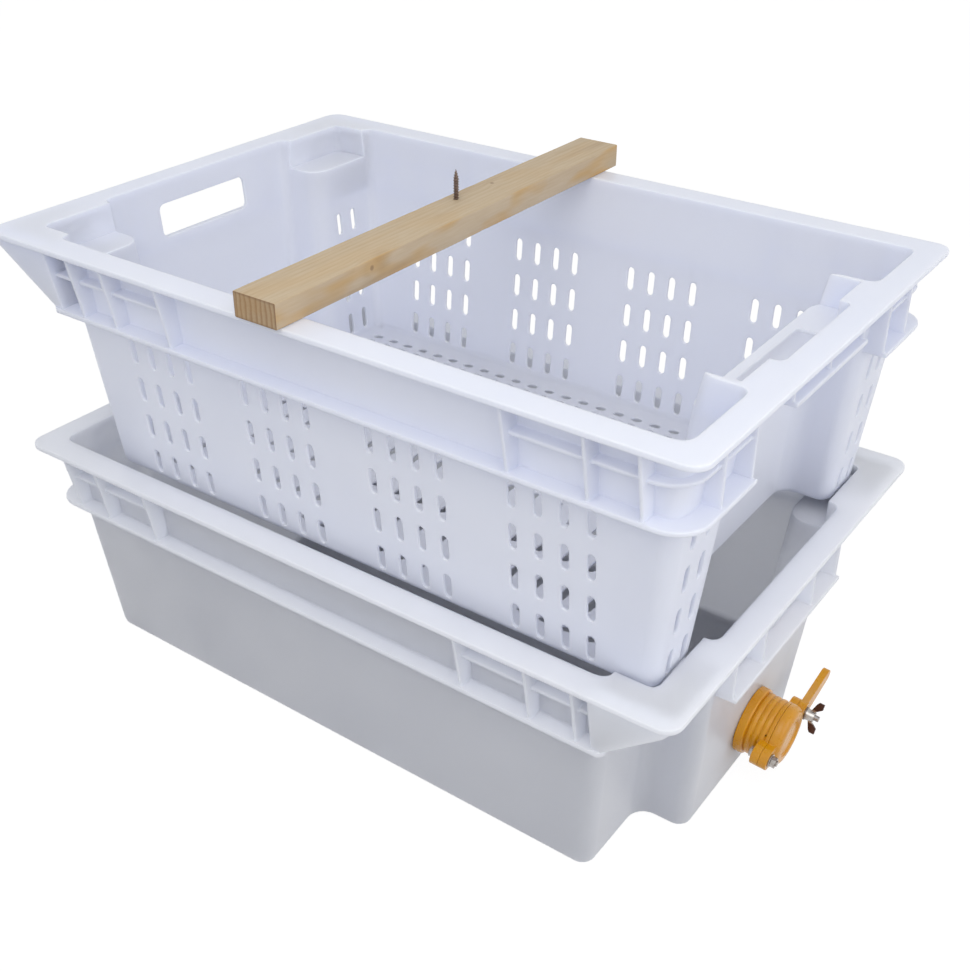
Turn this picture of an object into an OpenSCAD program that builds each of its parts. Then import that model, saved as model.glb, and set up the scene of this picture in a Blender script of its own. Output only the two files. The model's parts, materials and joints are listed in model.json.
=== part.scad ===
// Uncapping tank: a drain tub with a honey gate, a slotted basket stacked on it and a bar for comb frames.
// Millimetres, Z up. The tub stands on Z = 0 and its gate end faces +X.

/* [Crates] */
// Length of a crate over its rim
crate_l = 650; // [620:5:700]
// Width of a crate over its rim
crate_w = 430; // [410:5:470]
// Height of a crate
crate_h = 208; // [204:1:222]
// Thickness of the crate walls and floor
wall = 3; // [2.5:0.1:3.5]
// Lean of the crate walls, in degrees
draft_angle = 4.6; // [4:0.1:5]
// Depth of the basket's foot below the tub rim
stack_depth = 10; // [8:1:14]
// Side play of the basket's foot in the tub
stack_gap = 3; // [2:0.5:4]
// Step between the outer and the set-in part of an end wall
end_step = 42; // [38:1:46]
// Width of the outer middle of the gate end, at the floor
mid_w = 196; // [184:2:204]
// Width of the set-in middle of the other end, at the floor
recess_w = 240; // [232:2:252]
// Radius of the upright outer corners
corner_r = 12; // [11:0.5:16]
// Radius of the upright inner corners
cove_r = 15; // [10:0.5:18]
// Radius of the edge round the floor
foot_r = 6; // [4:0.5:7]

/* [Rim and band] */
// Width of the flat rim on the long sides
rim_side = 24; // [22:0.5:27]
// Width of the flat rim on the ends
rim_end = 22; // [20:0.5:25]
// Thickness of the rim
rim_t = 5; // [4:0.5:6]
// Corner radius of the rim
rim_r = 14; // [10:1:18]
// Depth of the lower flange below the rim
band_drop = 57; // [53:1:62]
// Thickness of the lower flange
flange_t = 4; // [3:0.5:5]
// How far the flange stays inside the rim edge on the long sides
flange_set = 11; // [9:1:13]
// How far the flange stays inside the rim edge on the ends
flange_set_end = 7; // [6:1:9]
// Corner radius of the flange
flange_r = 26; // [20:1:30]
// Depth of the middle rib below the rim
midrib_drop = 26; // [22:1:30]
// Thickness of the ribs
rib_t = 3; // [2.5:0.5:4]
// How far the ribs stay inside the edges that they run up to
rib_set = 3; // [2:0.5:4]
// Distance of the tub's first rib from the rim's edge, at the wide-middle end
rib_first_tub = 182; // [179:1:190]
// Distance of the basket's first rib from the rim's edge, at the wide-middle end
rib_first_basket = 196; // [191:1:205]
// Distance of the first rib from the rim's edge, at the other end
rib_first_far = 144; // [139:1:151]
// Length of the long cell between ribs
cell_long = 61; // [54:1:64]
// Length of the short cell between ribs
cell_short = 39; // [34:1:41]
// Depth of the ledges below the rim
ledge_drop = 26; // [22:1:30]
// Reach of the pads and fins that stand on the tub's ledges
rest_w = 18; // [15:1:22]
// Width of the hand pocket in the set-in end
pocket_w = 118; // [110:2:124]
// Width of the finger hole in the pocket's floor
finger_w = 104; // [90:2:106]

/* [Basket openings] */
// Length of a wall slot
slot_l = 22; // [18:1:24]
// Width of a slot
slot_w = 6.5; // [5:0.5:8]
// Slot columns in a group
slot_cols = 4; // [2:1:4]
// Slot rows
slot_rows = 4; // [2:1:4]
// Distance between slot columns
slot_pitch = 21; // [18:1:23]
// Distance between slot rows
slot_row_pitch = 35.5; // [32:0.5:36]
// Height of the lowest slot row above the basket's foot
slot_low = 18; // [17:1:24]
// Slot groups on a long side
slot_groups = 4; // [2:1:4]
// Distance between slot groups
slot_group_pitch = 123.5; // [110:0.5:124]
// Shift of the slot groups from the middle
slot_shift = 23; // [10:1:30]
// Slot columns across the floor's length
floor_cols = 18; // [12:1:20]
// Slot rows across the floor's width
floor_rows = 6; // [4:1:6]
// Distance between floor slot columns
floor_pitch = 24; // [18:1:24]
// Distance between floor slot rows
floor_row_pitch = 46; // [32:1:48]
// Length of a floor slot
floor_slot_l = 26; // [18:1:28]
// Short slots in a row along a long edge of the floor
edge_cols = 24; // [16:2:24]
// Distance between the short slots
edge_pitch = 19.5; // [17:0.5:20]
// Distance between the two rows of short slots
edge_row_pitch = 13; // [12:0.5:15]
// Length of a short slot
edge_slot_l = 10; // [8:0.5:12]
// Distance of the outer row of short slots from the wall's face
edge_set = 25; // [22:1:27]
// Width of the hand hole
handle_w = 105; // [95:1:112]
// Height of the hand hole
handle_h = 30; // [24:1:32]
// Depth of the hand hole's top below the rim
handle_drop = 21; // [17:1:24]

/* [Frame bar] */
// Length of the bar
bar_l = 452; // [440:2:480]
// Width of the bar
bar_w = 40; // [34:1:50]
// Thickness of the bar
bar_t = 20; // [18:1:25]
// Place of the bar along the basket, from the middle
bar_x = -16; // [-120:1:120]
// Shift of the bar across the basket
bar_y = 7; // [0:1:10]
// Diameter of the point screw's thread
screw_d = 5; // [4:0.1:6]
// Height of the screw point above the bar
screw_up = 25; // [22:1:34]
// Place of the screw across the bar, from the bar's middle
screw_x = -9; // [-10:1:10]
// Place of the screw along the bar, from the bar's middle
screw_y = 17; // [-120:1:120]

/* [Honey gate] */
// Height of the gate's axis above the floor, at the wall
gate_z = 52; // [48:1:60]
// Sideways place of the gate
gate_y = 0; // [-20:1:20]
// Tilt of the gate about its axis, in degrees
gate_tilt = 0; // [-4:1:8]
// Diameter of the outlet
outlet_d = 38; // [34:1:40]
// Diameter of the spigot's thread
spigot_d = 48; // [46:1:50]
// Diameter of the flange
gate_flange_d = 58; // [57:1:62]
// Diameter of the barrel
barrel_d = 54; // [52:0.5:55]
// Distance of the barrel's face from the tub wall
face_z = 28; // [26:1:34]
// Thickness of the gasket
gasket_t = 2; // [1.5:0.5:3]
// Distance of the pivot bolt from the gate's axis
pivot_u = 33.5; // [33.5:0.5:37]
// Distance of the clamp bolt from the gate's axis
clamp_u = 36; // [35:0.5:38]
// Diameter of both bolts
bolt_d = 5; // [4.5:0.5:6]
// Diameter of the flap
flap_d = 54; // [53:0.5:55]
// Thickness of the flap's disc
flap_t = 10; // [9:0.5:11]
// Thickness of the flap's arms
arm_t = 7; // [6:0.5:7]
// Length of the lever beyond the clamp bolt
lever_l = 50; // [40:1:54]
// Angle of the lever to the line of the bolts, in degrees
lever_angle = 14; // [4:1:18]
// Play between turning faces
turn_gap = 0.1; // [0.05:0.05:0.2]
// Play round a bolt
bolt_gap = 0.05; // [0.03:0.01:0.08]
// Play of the hook round the clamp bolt
hook_gap = 0.4; // [0.3:0.1:0.8]

/* [Hidden] */
$fn = 64;
// Steps in a crate corner
arc_n = 6;
// Steps round the floor's edge
foot_n = 3;
// Length by which joined pieces run into each other
bite = 1;
// Places of the walls at the floor
side_y = crate_w / 2 - rim_side + wall - draft(crate_h);
outer_x = crate_l / 2 - rim_end + wall - draft(crate_h);
inset_x = outer_x - end_step;
mid_y = mid_w / 2;
recess_y = recess_w / 2;
// Heights of the rim's underside, the lower flange and the ledges
rim_z = crate_h - rim_t;
flange_z = crate_h - band_drop - flange_t;
ledge_z = crate_h - ledge_drop;
// Reach of the ledges and of the flange
ledge_x = outer_x + draft(stack_depth) + stack_gap;
ledge_y = side_y + draft(stack_depth) + stack_gap;
flange_x = crate_l / 2 - flange_set_end;
flange_y = crate_w / 2 - flange_set;
// Ends of the band at the gate end, of the columns and of the middle band
band_end = inset_x + draft(flange_z) + 8;
panel_x = band_end - 10;
jog_y = recess_y - draft(ledge_z) + 8;
rib_start_far = crate_l / 2 - rib_first_far;
mid_band_y = mid_y - 1;
// Room beside the hand hole, clear of ribs
grip_room = 24;
// Foot and rim of the basket
rest_z = crate_h - stack_depth;
basket_z = rest_z;
bar_z = basket_z + crate_h;
// Gate places along its axis, from the wall's outer face
gate_x = outer_x + draft(gate_z);
wall_n = wall * cos(draft_angle);
flange_end = gasket_t + 6;
flange_gap = 0.2;
gasket_r = gate_flange_d / 2 - 2;
flap_z = face_z + turn_gap;
ear_r = 9;
ear_t = 7;
arm_top = flap_z + arm_t;
washer_t = 1.2;
washer_r = bolt_d / 2 + 3.3;
washer_z = arm_top + turn_gap;
nut_z = washer_z + washer_t;
hex_r = bolt_d * 0.96;
head_t = 3.5;
nut_t = 4;
pocket_t = 3;
seal_r = outlet_d / 2 + 1.5;
seal_w = 3;
seal_t = 2;
stud_up = 11;
wing_h = 9;
wing_l = 14;
spigot_l = 20;
lock_t = 12;

// Outward move of a drafted wall at a height above the floor
function draft(z) = z * tan(draft_angle);

// Arc at a square corner: its point, the outward normals before and after it, and its radius.
// The corner moves outward by out, and the arc is then drawn inset by inset.
function corner(p, n, m, r, out = 0, inset = 0) = [
  for (i = [0:arc_n]) let (a = 90 * i / arc_n)
    p + (out - r) * (n + m) + (r - inset) * (n * cos(a) + m * sin(a))
];

// Arc at a corner, or the bare corner point for radius 0
function soft(p, n, m, r) = r > 0 ? corner(p, n, m, r) : [p];

// Rectangle with rounded corners, radii from the +X -Y corner round
function rect_ring(x0, x1, y0, y1, r) = concat(
  soft([x1, y0], [0, -1], [1, 0], r[0]),
  soft([x1, y1], [1, 0], [0, 1], r[1]),
  soft([x0, y1], [0, 1], [-1, 0], r[2]),
  soft([x0, y0], [-1, 0], [0, -1], r[3])
);

// Outline of a crate, moved outward from its place at the floor and inset
function crate_ring(out, inset) = concat(
  corner([outer_x, -mid_y], [0, -1], [1, 0], corner_r, out, inset),
  corner([outer_x, mid_y], [1, 0], [0, 1], corner_r, out, inset),
  corner([inset_x, mid_y], [0, 1], [1, 0], -cove_r, out, inset),
  corner([inset_x, side_y], [1, 0], [0, 1], corner_r, out, inset),
  corner([-outer_x, side_y], [0, 1], [-1, 0], corner_r, out, inset),
  corner([-outer_x, recess_y], [-1, 0], [0, -1], corner_r, out, inset),
  corner([-inset_x, recess_y], [0, -1], [-1, 0], -cove_r, out, inset),
  corner([-inset_x, -recess_y], [-1, 0], [0, 1], -cove_r, out, inset),
  corner([-outer_x, -recess_y], [0, 1], [-1, 0], corner_r, out, inset),
  corner([-outer_x, -side_y], [-1, 0], [0, -1], corner_r, out, inset),
  corner([inset_x, -side_y], [0, -1], [1, 0], corner_r, out, inset),
  corner([inset_x, -mid_y], [1, 0], [0, -1], -cove_r, out, inset)
);

// Outward moves, insets and heights of a crate form's rings: a round foot edge, then the drafted wall
function form_rings(inset, z0, z1, r) = concat(
  [for (i = [0:foot_n]) let (a = 90 * i / foot_n, z = z0 + r * (1 - cos(a)))
    [draft(z), inset + r * (1 - sin(a)), z]],
  [[draft(z1), inset, z1]]
);

// Solid through the crate outlines of the given rings
module crate_form(rings) {
  n = len(crate_ring(0, 0));
  top = len(rings) - 1;
  points = [for (s = rings) for (p = crate_ring(s[0], s[1])) [p[0], p[1], s[2]]];
  sides = [for (k = [0:top - 1]) for (i = [0:n - 1]) let (j = (i + 1) % n)
    [k * n + i, k * n + n + i, k * n + n + j, k * n + j]];
  floor_face = [for (i = [0:n - 1]) i];
  top_face = [for (i = [0:n - 1]) top * n + n - 1 - i];
  // zeros keep the size: resize only has the uneven floor and top faces cut into triangles
  resize([0, 0, 0]) polyhedron(points, concat(sides, [floor_face, top_face]), convexity = 8);
}

// Upright plate with rounded corners between two heights
module plate(x0, x1, y0, y1, z0, z1, r) {
  translate([0, 0, z0]) linear_extrude(z1 - z0) polygon(rect_ring(x0, x1, y0, y1, r));
}

// The same piece on both long sides
module both_sides() {
  children();
  mirror([0, 1, 0]) children();
}

// Shape drawn in X and Z, pushed along Y from y0 to y1
module along_y(y0, y1) {
  translate([0, y1, 0]) rotate([90, 0, 0]) linear_extrude(y1 - y0) children();
}

// Shape drawn in Y and Z, pushed along X from x0 to x1
module along_x(x0, x1) {
  translate([x0, 0, 0]) rotate([90, 0, 90]) linear_extrude(x1 - x0) children();
}

// Upright rib on a long side
module side_rib(x) {
  foot_y = flange_y - rib_set;
  top_y = crate_w / 2 - rib_set;
  along_x(x, x + rib_t) polygon([
    [side_y, flange_z + bite], [foot_y, flange_z + bite], [top_y, rim_z + bite], [side_y, rim_z + bite]
  ]);
}

// Upright rib on an end, side is 1 for the gate end and -1 for the other
module end_rib(y, side) {
  edge_x = side * (flange_x - rib_set);
  root_x = side * outer_x;
  along_y(y, y + rib_t) polygon([
    [root_x, flange_z + bite], [edge_x, flange_z + bite], [edge_x, rim_z + bite], [root_x, rim_z + bite]
  ]);
}

// Lower flange, middle ribs and upright ribs of the band
module band(rib_start, end_rib_y) {
  mid_z = crate_h - midrib_drop;
  mid_set = flange_set * 0.6 + 2 * rib_set;
  both_sides() {
    plate(-flange_x, band_end, jog_y, flange_y, flange_z, flange_z + flange_t, [0, 6, flange_r, 0]);
    plate(mid_set - crate_l / 2, -rib_start_far, jog_y, crate_w / 2 - mid_set, mid_z - rib_t, mid_z,
      [0, 0, flange_r, 0]);
    plate(rib_start, panel_x + bite, side_y - 10, crate_w / 2 - mid_set, mid_z - rib_t, mid_z,
      [0, 0, 0, 0]);
    for (x = [0, cell_long, cell_long + cell_short]) {
      side_rib(rib_start + x);
      side_rib(-rib_start_far - x - rib_t);
    }
    end_rib(jog_y, -1);
    end_rib((jog_y + side_y) / 2 + 12, -1);
    end_rib(mid_band_y - rib_t, 1);
    end_rib(end_rib_y, 1);
  }
  plate(inset_x, flange_x, -mid_band_y, mid_band_y, flange_z, flange_z + flange_t, [0, 0, 0, 0]);
}

// Slanted panel under each rim corner of the gate end, with the wall that closes the last cell
module corner_panels() {
  foot_x = band_end - 2 * rib_set;
  top_x = crate_l / 2 - rib_set;
  in_y = ledge_y - 46;
  slope = (top_x - foot_x) / (rim_z - flange_z);
  both_sides() intersection() {
    difference() {
      along_y(in_y, crate_w / 2) polygon([
        [panel_x, flange_z + bite], [foot_x + slope * bite, flange_z + bite],
        [top_x + slope * bite, rim_z + bite], [panel_x, rim_z + bite]
      ]);
      along_y(in_y - 1, flange_y - rib_set - wall) polygon([
        [panel_x + wall, flange_z + flange_t],
        [foot_x + slope * flange_t - wall * 1.4, flange_z + flange_t],
        [top_x + slope * 2 * bite - wall * 1.4, rim_z + 2 * bite],
        [panel_x + wall, rim_z + 2 * bite]
      ]);
    }
    along_x(inset_x, crate_l / 2) polygon([
      [0, flange_z], [flange_y - rib_set, flange_z], [crate_w / 2 - rib_set, rim_z + bite], [0, rim_z + bite]
    ]);
    plate(inset_x, crate_l / 2 - rib_set, 0, crate_w / 2 - rib_set, flange_z, rim_z + bite, [0, rim_r, 0, 0]);
  }
}

// Blocks round the ledges at both ends
module ledge_blocks() {
  pad_y = pocket_w / 2 + wall;
  foot_z = ledge_z - wall;
  top_z = rim_z + bite;
  both_sides() plate(inset_x, ledge_x + wall, mid_y, ledge_y + wall, foot_z, top_z, [4, 9, 0, 0]);
  plate(-ledge_x - wall, -inset_x, -jog_y, jog_y, foot_z, top_z, [0, 0, 3, 3]);
  plate(-crate_l / 2 + rim_end - wall, -inset_x, -pad_y, pad_y, foot_z, top_z, [0, 0, 0, 0]);
  // grip under the rim of the set-in end: a plate and three ribs
  plate(-flange_x, -inset_x, -pad_y, pad_y, foot_z, foot_z + flange_t, [0, 0, 0, 0]);
  for (y = [-pad_y, -rib_t / 2, pad_y - rib_t]) {
    along_y(y, y + rib_t) polygon([
      [-ledge_x, foot_z + bite], [rib_set - flange_x, foot_z + bite],
      [rib_set - flange_x, top_z], [-ledge_x, top_z]
    ]);
  }
}

// Room over the ledges for the foot of a stacked crate, the hand pocket and its finger hole
module ledge_room() {
  top = crate_h + 1;
  in_x = inset_x - 4;
  open_y = mid_y + draft(stack_depth) + stack_gap;
  both_sides() plate(in_x, ledge_x, mid_y, ledge_y, ledge_z, top, [0, 7, 0, 0]);
  plate(-ledge_x, -in_x, -open_y, open_y, ledge_z, top, [0, 0, 3, 3]);
  plate(-crate_l / 2 + rim_end, -in_x, -pocket_w / 2, pocket_w / 2, ledge_z, top, [0, 0, 6, 6]);
  plate(-crate_l / 2 + rim_end + 4, -inset_x - draft(ledge_z) - 6, -finger_w / 2, finger_w / 2,
    ledge_z - 2 * wall, top, [4, 4, 4, 4]);
}

// Corner pads and fins on the tub's ledges, under the basket's foot
module rests() {
  pad_l = 26;
  h = rest_z - ledge_z + bite;
  both_sides() {
    translate([ledge_x - rest_w, ledge_y - pad_l, ledge_z - bite]) cube([rest_w + bite, pad_l + bite, h]);
    for (y = [pocket_w / 2 + 8, mid_y - 14]) {
      translate([-ledge_x - bite, y, ledge_z - bite]) cube([rest_w + bite, rib_t, h]);
    }
  }
}

// The crate that both the tub and the basket are moulded from, gate end at +X
module crate(rib_start, end_rib_y) {
  difference() {
    union() {
      crate_form(form_rings(0, 0, rim_z + bite, foot_r));
      plate(-crate_l / 2, crate_l / 2, -crate_w / 2, crate_w / 2, rim_z, crate_h,
        [rim_r, rim_r, rim_r, rim_r]);
      band(rib_start, end_rib_y);
      corner_panels();
      ledge_blocks();
    }
    crate_form(form_rings(wall, wall, crate_h + 1, foot_r - wall / 2));
    ledge_room();
  }
}

// Places a gate piece: X along the line of the bolts, Z out along the gate's axis
module gate_frame() {
  translate([gate_x, gate_y, gate_z]) rotate([0, 90 + draft_angle, 0])
    rotate([0, 0, 90 + gate_tilt]) children();
}

// Flat ring or disc between two heights
module ring(r, hole, z0, z1) {
  difference() {
    translate([0, 0, z0]) cylinder(r = r, h = z1 - z0);
    translate([0, 0, z0 - 1]) cylinder(r = hole, h = z1 - z0 + 2);
  }
}

// Outline of a slot with round ends, drawn along Y
module slot_shape(length, width) {
  r = width / 2;
  steps = 4;
  polygon([for (side = [1, -1], i = [0:steps]) let (a = 180 * i / steps)
    side * [r * cos(a), length / 2 - r + r * sin(a)]]);
}

// Slots through both long walls
module side_slots() {
  half_group = (slot_cols - 1) / 2;
  half_side = (slot_groups - 1) / 2;
  for (g = [0:slot_groups - 1], c = [0:slot_cols - 1], r = [0:slot_rows - 1]) {
    x = -slot_shift + (g - half_side) * slot_group_pitch + (c - half_group) * slot_pitch;
    translate([x, 0, slot_low + r * slot_row_pitch]) rotate([90, 0, 0])
      linear_extrude(crate_w, center = true) slot_shape(slot_l, slot_w);
  }
}

// Slots through the end faces beside the middle of each end
module end_slots() {
  gate_side = (mid_y + cove_r + side_y) / 2;
  far_side = (recess_y + side_y) / 2;
  both_sides() for (c = [-0.5, 0.5], r = [0:slot_rows - 1]) {
    z = slot_low + r * slot_row_pitch;
    translate([inset_x, gate_side + c * slot_pitch, z]) rotate([90, 0, 90])
      linear_extrude(2 * corner_r, center = true) slot_shape(slot_l, slot_w);
    translate([-outer_x, far_side + c * slot_pitch, z]) rotate([90, 0, 90])
      linear_extrude(2 * corner_r, center = true) slot_shape(slot_l, slot_w);
  }
}

// Slots through the floor: long ones across it, and two rows of short ones along each long edge
module floor_slots() {
  edge_y = side_y - edge_set;
  room_x = inset_x - wall - foot_r;
  room_y = edge_y - edge_row_pitch - slot_w / 2 - wall;
  for (c = [0:floor_cols - 1], r = [0:floor_rows - 1]) {
    x = (c - (floor_cols - 1) / 2) * floor_pitch;
    y = (r - (floor_rows - 1) / 2) * floor_row_pitch;
    if (abs(y) + floor_slot_l / 2 < room_y)
      translate([x, y, -1]) linear_extrude(wall + 2) slot_shape(floor_slot_l, slot_w);
  }
  both_sides() for (c = [0:edge_cols - 1], r = [0, 1]) {
    x = (c - (edge_cols - 1) / 2) * edge_pitch;
    if (abs(x) + edge_slot_l / 2 < room_x)
      translate([x, edge_y - r * edge_row_pitch, -1]) rotate([0, 0, 90])
        linear_extrude(wall + 2) slot_shape(edge_slot_l, slot_w);
  }
}

// Drain tub with the hole for the gate
module tub() {
  color("whitesmoke") difference() {
    union() {
      crate(crate_l / 2 - rib_first_tub, mid_band_y * 0.45);
      rests();
    }
    gate_frame() translate([0, 0, -4 * wall]) cylinder(d = spigot_d + 1, h = 8 * wall);
  }
}

// Slotted basket, turned end for end on the tub's ledges
module basket() {
  color("white") translate([0, 0, basket_z]) rotate([0, 0, 180]) difference() {
    crate(crate_l / 2 - rib_first_basket, handle_w / 2 + grip_room);
    side_slots();
    end_slots();
    floor_slots();
    translate([outer_x, 0, crate_h - handle_drop - handle_h / 2]) rotate([90, 0, 90])
      linear_extrude(3 * rim_end, center = true)
      polygon(rect_ring(-handle_w / 2, handle_w / 2, -handle_h / 2, handle_h / 2, [6, 6, 6, 6]));
  }
}

// Pine bar across the basket's rims
module frame_bar() {
  color("burlywood") translate([bar_x, bar_y, bar_z]) difference() {
    rotate([90, 0, 0]) linear_extrude(bar_l, center = true)
      polygon(rect_ring(-bar_w / 2, bar_w / 2, 0, bar_t, [1, 1, 1, 1]));
    translate([screw_x, screw_y, -1]) cylinder(d = screw_d + 2 * bolt_gap, h = bar_t + 2);
    translate([screw_x, screw_y, -bolt_gap])
      cylinder(r1 = screw_d + 2 * bolt_gap, r2 = screw_d / 2 + bolt_gap, h = screw_d / 2);
  }
}

// Wood screw through the bar, point up
module point_screw() {
  point_h = 8;
  core_r = screw_d * 0.33;
  ridge = 2.2;
  turns = floor((screw_up - point_h) / ridge);
  thread = [for (i = [0:turns - 1]) for (k = [0:2])
    [k == 1 ? screw_d / 2 : core_r, bar_t + 0.6 + ridge * (i + k * 0.35)]];
  color("silver") translate([bar_x + screw_x, bar_y + screw_y, bar_z]) {
    rotate_extrude() polygon(concat(
      [[0, 0.2], [screw_d * 0.95, 0.2], [screw_d / 2, screw_d / 2], [screw_d / 2, bar_t]],
      thread,
      [[core_r, bar_t + screw_up - point_h], [0, bar_t + screw_up]]
    ));
  }
}

// Gate body: spigot, flange, ringed barrel and two ears
module gate_body() {
  r = barrel_d / 2;
  groove = 1.2;
  step = (face_z - 4 - flange_end) / 3;
  rings = [for (i = [0:2], k = [0:5])
    [r - groove * (1 - sqrt(sin(180 * k / 6))), flange_end + (i + k / 6) * step]];
  color("orange") gate_frame() difference() {
    union() {
      rotate_extrude() polygon(concat(
        [[0, -spigot_l], [spigot_d / 2 - 1.5, -spigot_l], [spigot_d / 2, -spigot_l + 1.5],
          [spigot_d / 2, gasket_t], [gasket_r + bolt_gap, gasket_t], [gasket_r + bolt_gap, flange_gap],
          [gate_flange_d / 2, flange_gap], [gate_flange_d / 2, flange_end - 1],
          [gate_flange_d / 2 - 1, flange_end]],
        rings,
        [[r - groove, face_z - 4], [flap_d / 2, face_z - 3], [flap_d / 2, face_z], [0, face_z]]
      ));
      for (u = [-pivot_u, clamp_u]) {
        translate([u, 0, face_z - ear_t]) cylinder(r = ear_r, h = ear_t);
        translate([min(u, 0), 0.5 - ear_r, face_z - ear_t]) cube([abs(u), 2 * ear_r - 1, ear_t]);
      }
    }
    translate([0, 0, -spigot_l - 1]) cylinder(d = outlet_d, h = spigot_l + face_z + 2);
    for (u = [-pivot_u, clamp_u]) {
      translate([u, 0, face_z - ear_t - 1]) cylinder(d = bolt_d + 2 * bolt_gap, h = ear_t + 2);
    }
    translate([clamp_u, 0, face_z - ear_t - 1]) cylinder(r = hex_r + bolt_gap, h = pocket_t + 1, $fn = 6);
  }
}

// Rubber ring let into the back of the gate's flange, against the tub wall
module gate_gasket() {
  color("dimgray") gate_frame() ring(gasket_r, spigot_d / 2 + bolt_gap, 0, gasket_t);
}

// Ring nut on the spigot, inside the tub
module lock_nut() {
  color("goldenrod") gate_frame() difference() {
    union() {
      translate([0, 0, -wall_n - bolt_gap - lock_t]) cylinder(r = spigot_d / 2 + 9, h = lock_t, $fn = 8);
      translate([0, 0, -wall_n - bolt_gap - 3]) cylinder(r = spigot_d / 2 + 9, h = 3);
    }
    translate([0, 0, -wall_n - lock_t - 1]) cylinder(d = spigot_d + 2 * bolt_gap, h = lock_t + 2);
  }
}

// Outline of the lever from the middle of the clamp ear to its round tip
module lever_shape() {
  tip_r = 5.5;
  polygon(concat(
    [[0, ear_r - 1.2], [0, 1.2 - ear_r]],
    [for (i = [0:8]) let (a = 180 * i / 8 - 90) [lever_l - tip_r + tip_r * cos(a), tip_r * sin(a)]]
  ));
}

// Outline of the hook, open downward so that the flap lifts off the clamp bolt
module hook_shape() {
  r = bolt_d / 2 + hook_gap;
  polygon(concat(
    [for (i = [0:10]) let (a = 180 * i / 10) [r * cos(a), r * sin(a)]],
    [[-r - 1.6, -ear_r - 6], [r, -ear_r - 6]]
  ));
}

// Flap with its pivot ear, hooked clamp arm and lever
module gate_flap() {
  recess_r = outlet_d / 2 - 3;
  shoulder = flap_t - 3;
  lever_in = 0.5;
  color("orange") gate_frame() difference() {
    union() {
      rotate_extrude() polygon([
        [0, flap_z], [flap_d / 2, flap_z], [flap_d / 2, face_z + 3],
        [flap_d / 2 - 0.08 * shoulder, face_z + 3 + 0.39 * shoulder],
        [flap_d / 2 - 0.3 * shoulder, face_z + 3 + 0.71 * shoulder],
        [flap_d / 2 - 0.62 * shoulder, face_z + 3 + 0.92 * shoulder],
        [flap_d / 2 - shoulder, face_z + flap_t], [recess_r + 1, face_z + flap_t],
        [recess_r, face_z + flap_t - 1.5], [0, face_z + flap_t - 1.5]
      ]);
      for (u = [-pivot_u, clamp_u]) translate([u, 0, flap_z]) cylinder(r = ear_r, h = arm_t);
      translate([-pivot_u, 0.5 - ear_r, flap_z]) cube([pivot_u + clamp_u, 2 * ear_r - 1, arm_t]);
      translate([clamp_u, 0, flap_z + lever_in]) rotate([0, 0, lever_angle])
        linear_extrude(arm_t - 2 * lever_in) lever_shape();
    }
    translate([-pivot_u, 0, flap_z - 1]) cylinder(d = bolt_d + 2 * bolt_gap, h = arm_t + 2);
    translate([clamp_u, 0, flap_z - 1]) linear_extrude(arm_t + 2) hook_shape();
    ring(seal_r + seal_w, seal_r, flap_z - 1, face_z + seal_t);
  }
}

// Seal let into the back of the flap
module flap_seal() {
  color("dimgray") gate_frame()
    ring(seal_r + seal_w - bolt_gap, seal_r + bolt_gap, flap_z - turn_gap / 2, face_z + seal_t);
}

// Hex bolt from behind an ear, its head let in by a depth and its shank up to a height
module ear_bolt(u, sunk, top) {
  back = face_z - ear_t + sunk;
  gate_frame() translate([u, 0, 0]) {
    translate([0, 0, back - head_t]) cylinder(r = hex_r, h = head_t, $fn = 6);
    translate([0, 0, back - bite]) cylinder(d = bolt_d, h = top - back + bite);
  }
}

// Bolt that the flap swings on
module pivot_bolt() {
  color("silver") ear_bolt(-pivot_u, 0, nut_z + nut_t + 1.2);
}

// Washer under the pivot nut
module pivot_washer() {
  color("gainsboro") gate_frame() translate([-pivot_u, 0, 0])
    ring(washer_r, bolt_d / 2 + bolt_gap, washer_z, nut_z);
}

// Nut on the pivot bolt
module pivot_nut() {
  color("silver") gate_frame() translate([-pivot_u, 0, nut_z]) difference() {
    cylinder(r = hex_r, h = nut_t, $fn = 6);
    translate([0, 0, -1]) cylinder(d = bolt_d + 2 * bolt_gap, h = nut_t + 2);
  }
}

// Bolt that the wing nut clamps the flap on
module clamp_bolt() {
  color("silver") ear_bolt(clamp_u, pocket_t, nut_z + stud_up);
}

// Washer under the wing nut
module clamp_washer() {
  color("gainsboro") gate_frame() translate([clamp_u, 0, 0])
    ring(washer_r, bolt_d / 2 + bolt_gap, washer_z, nut_z);
}

// Wing nut: a tapered hub with two flared wings
module wing_nut() {
  hub_h = 7;
  wing_z = 2.5;
  color("silver") gate_frame() translate([clamp_u, 0, nut_z]) difference() {
    union() {
      cylinder(r1 = bolt_d / 2 + 2.6, r2 = bolt_d / 2 + 1.8, h = hub_h);
      rotate([0, 0, 70]) rotate([90, 0, 0]) linear_extrude(2, center = true) polygon([
        [-4, wing_z], [4, wing_z], [wing_l - 2, wing_z + 3], [wing_l, wing_z + 4.5], [wing_l, wing_z + wing_h],
        [wing_l - 5, wing_z + wing_h], [4, wing_z + 3], [-4, wing_z + 3], [5 - wing_l, wing_z + wing_h],
        [-wing_l, wing_z + wing_h], [-wing_l, wing_z + 4.5], [2 - wing_l, wing_z + 3]
      ]);
    }
    translate([0, 0, -1]) cylinder(d = bolt_d + 2 * bolt_gap, h = hub_h + wing_h);
  }
}

tub();
basket();
frame_bar();
point_screw();
gate_body();
gate_gasket();
lock_nut();
gate_flap();
flap_seal();
pivot_bolt();
pivot_washer();
pivot_nut();
clamp_bolt();
clamp_washer();
wing_nut();
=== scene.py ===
import json
import math

import bmesh
import bpy
import numpy
from mathutils import Matrix, Vector, noise


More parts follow.
